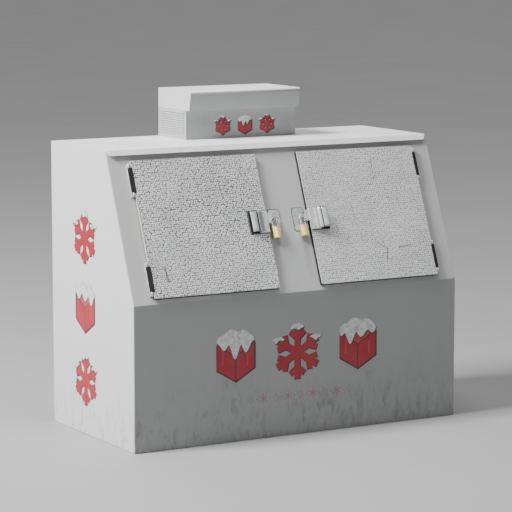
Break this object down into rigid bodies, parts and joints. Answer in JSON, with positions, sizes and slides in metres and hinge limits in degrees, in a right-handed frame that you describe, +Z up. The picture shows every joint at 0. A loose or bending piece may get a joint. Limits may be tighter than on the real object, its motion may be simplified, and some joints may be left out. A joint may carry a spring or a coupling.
{
  "type": "ice merchandiser freezer",
  "caption": "Slant-front outdoor ice merchandiser: insulated white steel chest, hinged embossed aluminium doors with latches and padlocks, and a roof-mounted refrigeration unit.",
  "frame": {"origin": "on the floor, under the middle of the object's bounding box", "axes": "+X along the front towards its right-hand end as seen by a customer, +Y from the doors to the back, +Z up"},
  "size_m": [1.85, 0.9022, 1.681],
  "materials": {
    "white_paint": "satin",
    "zinc_steel": "satin",
    "latch_metal": "satin",
    "embossed_aluminium": "satin",
    "liner_aluminium": "satin",
    "foam": "matte",
    "pale_plastic": "satin",
    "black_nylon": "satin",
    "black_rubber": "matte",
    "lock_brass": "satin",
    "shackle_steel": "polished",
    "slat_wood": "matte",
    "fin_aluminium": "satin",
    "black_paint": "satin",
    "copper": "satin",
    "grey_paint": "satin"
  },
  "bodies": {
    "cabinet": {"base_skids": "zinc_steel", "bottom_pan": "white_paint", "breaker_frames": "pale_plastic", "compressor": "black_paint", "compressor_mounts": "black_rubber", "condenser_coil": "fin_aluminium", "condenser_fan_motor": "black_paint", "control_box": "grey_paint", "cowl_front_panel": "white_paint", "cowl_hood": "white_paint", "cowl_left_panel": "white_paint", "cowl_rear_panel": "white_paint", "cowl_right_panel": "white_paint", "cowl_screws": "zinc_steel", "door_surround": "white_paint", "evaporator_case": "zinc_steel", "evaporator_coil": "fin_aluminium", "evaporator_fan_motor": "black_paint", "face_insulation": "foam", "fan_shroud": "zinc_steel", "filter_drier": "copper", "floor_insulation": "foam", "floor_rack": "slat_wood", "front_insulation": "foam", "hinge_brackets": "zinc_steel", "hinge_pins": "zinc_steel", "inner_liner": "liner_aluminium", "left_insulation": "foam", "left_side_panel": "white_paint", "lock_keepers": "zinc_steel", "lower_front_panel": "white_paint", "rear_insulation": "foam", "rear_panel": "white_paint", "refrigerant_lines": "copper", "right_insulation": "foam", "right_side_panel": "white_paint", "roof_insulation": "foam", "roof_panel": "white_paint", "unit_tray": "zinc_steel"},
    "left_door": {"left_door_skin": "embossed_aluminium", "left_door_core": "foam", "left_door_liner": "pale_plastic", "left_door_gasket": "black_rubber", "left_hinge_barrels": "black_nylon", "left_latch_base": "latch_metal"},
    "right_door": {"right_door_skin": "embossed_aluminium", "right_door_core": "foam", "right_door_liner": "pale_plastic", "right_door_gasket": "black_rubber", "right_hinge_barrels": "black_nylon", "right_latch_base": "latch_metal"},
    "left_grip": {"left_latch_grip": "latch_metal"},
    "right_grip": {"right_latch_grip": "latch_metal"},
    "left_shackle": {"left_padlock_shackle": "shackle_steel"},
    "right_shackle": {"right_padlock_shackle": "shackle_steel"},
    "left_lock": {"left_padlock_body": "lock_brass"},
    "right_lock": {"right_padlock_body": "lock_brass"},
    "condenser_wheel": {"condenser_fan": "fin_aluminium"},
    "evaporator_wheel": {"evaporator_fan": "fin_aluminium"},
    "dial": {"thermostat_dial": "black_nylon"}
  },
  "joints": [
    {"name": "left_door_swing", "type": "hinge", "parent": "cabinet", "child": "left_door", "pos_m": [-0.822, -0.31751, 1.06092], "axis": [0, -0.3729, -0.9279], "range_deg": [0, 120]},
    {"name": "right_door_swing", "type": "hinge", "parent": "cabinet", "child": "right_door", "pos_m": [0.822, -0.31751, 1.06092], "axis": [0, 0.3729, 0.9279], "range_deg": [0, 120]},
    {"name": "left_latch_pull", "type": "hinge", "parent": "left_door", "child": "left_grip", "pos_m": [-0.1663, -0.33645, 1.06207], "axis": [0, 0.3729, 0.9279], "range_deg": [0, 20], "stiffness_Nm_per_rad": 1, "springref_deg": -20.05},
    {"name": "right_latch_pull", "type": "hinge", "parent": "right_door", "child": "right_grip", "pos_m": [0.1663, -0.33645, 1.06207], "axis": [0, -0.3729, -0.9279], "range_deg": [0, 20], "stiffness_Nm_per_rad": 1, "springref_deg": -20.05},
    {"name": "left_padlock_swing", "type": "hinge", "parent": "cabinet", "child": "left_shackle", "pos_m": [-0.08, -0.31387, 1.07347], "axis": [-1, 0, 0], "range_deg": [0, 150]},
    {"name": "right_padlock_swing", "type": "hinge", "parent": "cabinet", "child": "right_shackle", "pos_m": [0.08, -0.31387, 1.07347], "axis": [-1, 0, 0], "range_deg": [0, 150]},
    {"name": "left_padlock_release", "type": "slide", "parent": "left_shackle", "child": "left_lock", "axis": [0, -0.3729, -0.9279], "range_m": [0, 0.01]},
    {"name": "right_padlock_release", "type": "slide", "parent": "right_shackle", "child": "right_lock", "axis": [0, -0.3729, -0.9279], "range_m": [0, 0.01]},
    {"name": "condenser_fan_spin", "type": "hinge", "parent": "cabinet", "child": "condenser_wheel", "pos_m": [-0.25, 0.29487, 1.537], "axis": [1, 0, 0], "continuous": true},
    {"name": "evaporator_fan_spin", "type": "hinge", "parent": "cabinet", "child": "evaporator_wheel", "pos_m": [0, 0.16637, 1.316], "axis": [0, 1, 0], "continuous": true},
    {"name": "thermostat_turn", "type": "hinge", "parent": "cabinet", "child": "dial", "pos_m": [0.2735, 0.22057, 1.503], "axis": [0, -1, 0], "range_deg": [0, 270]}
  ]
}
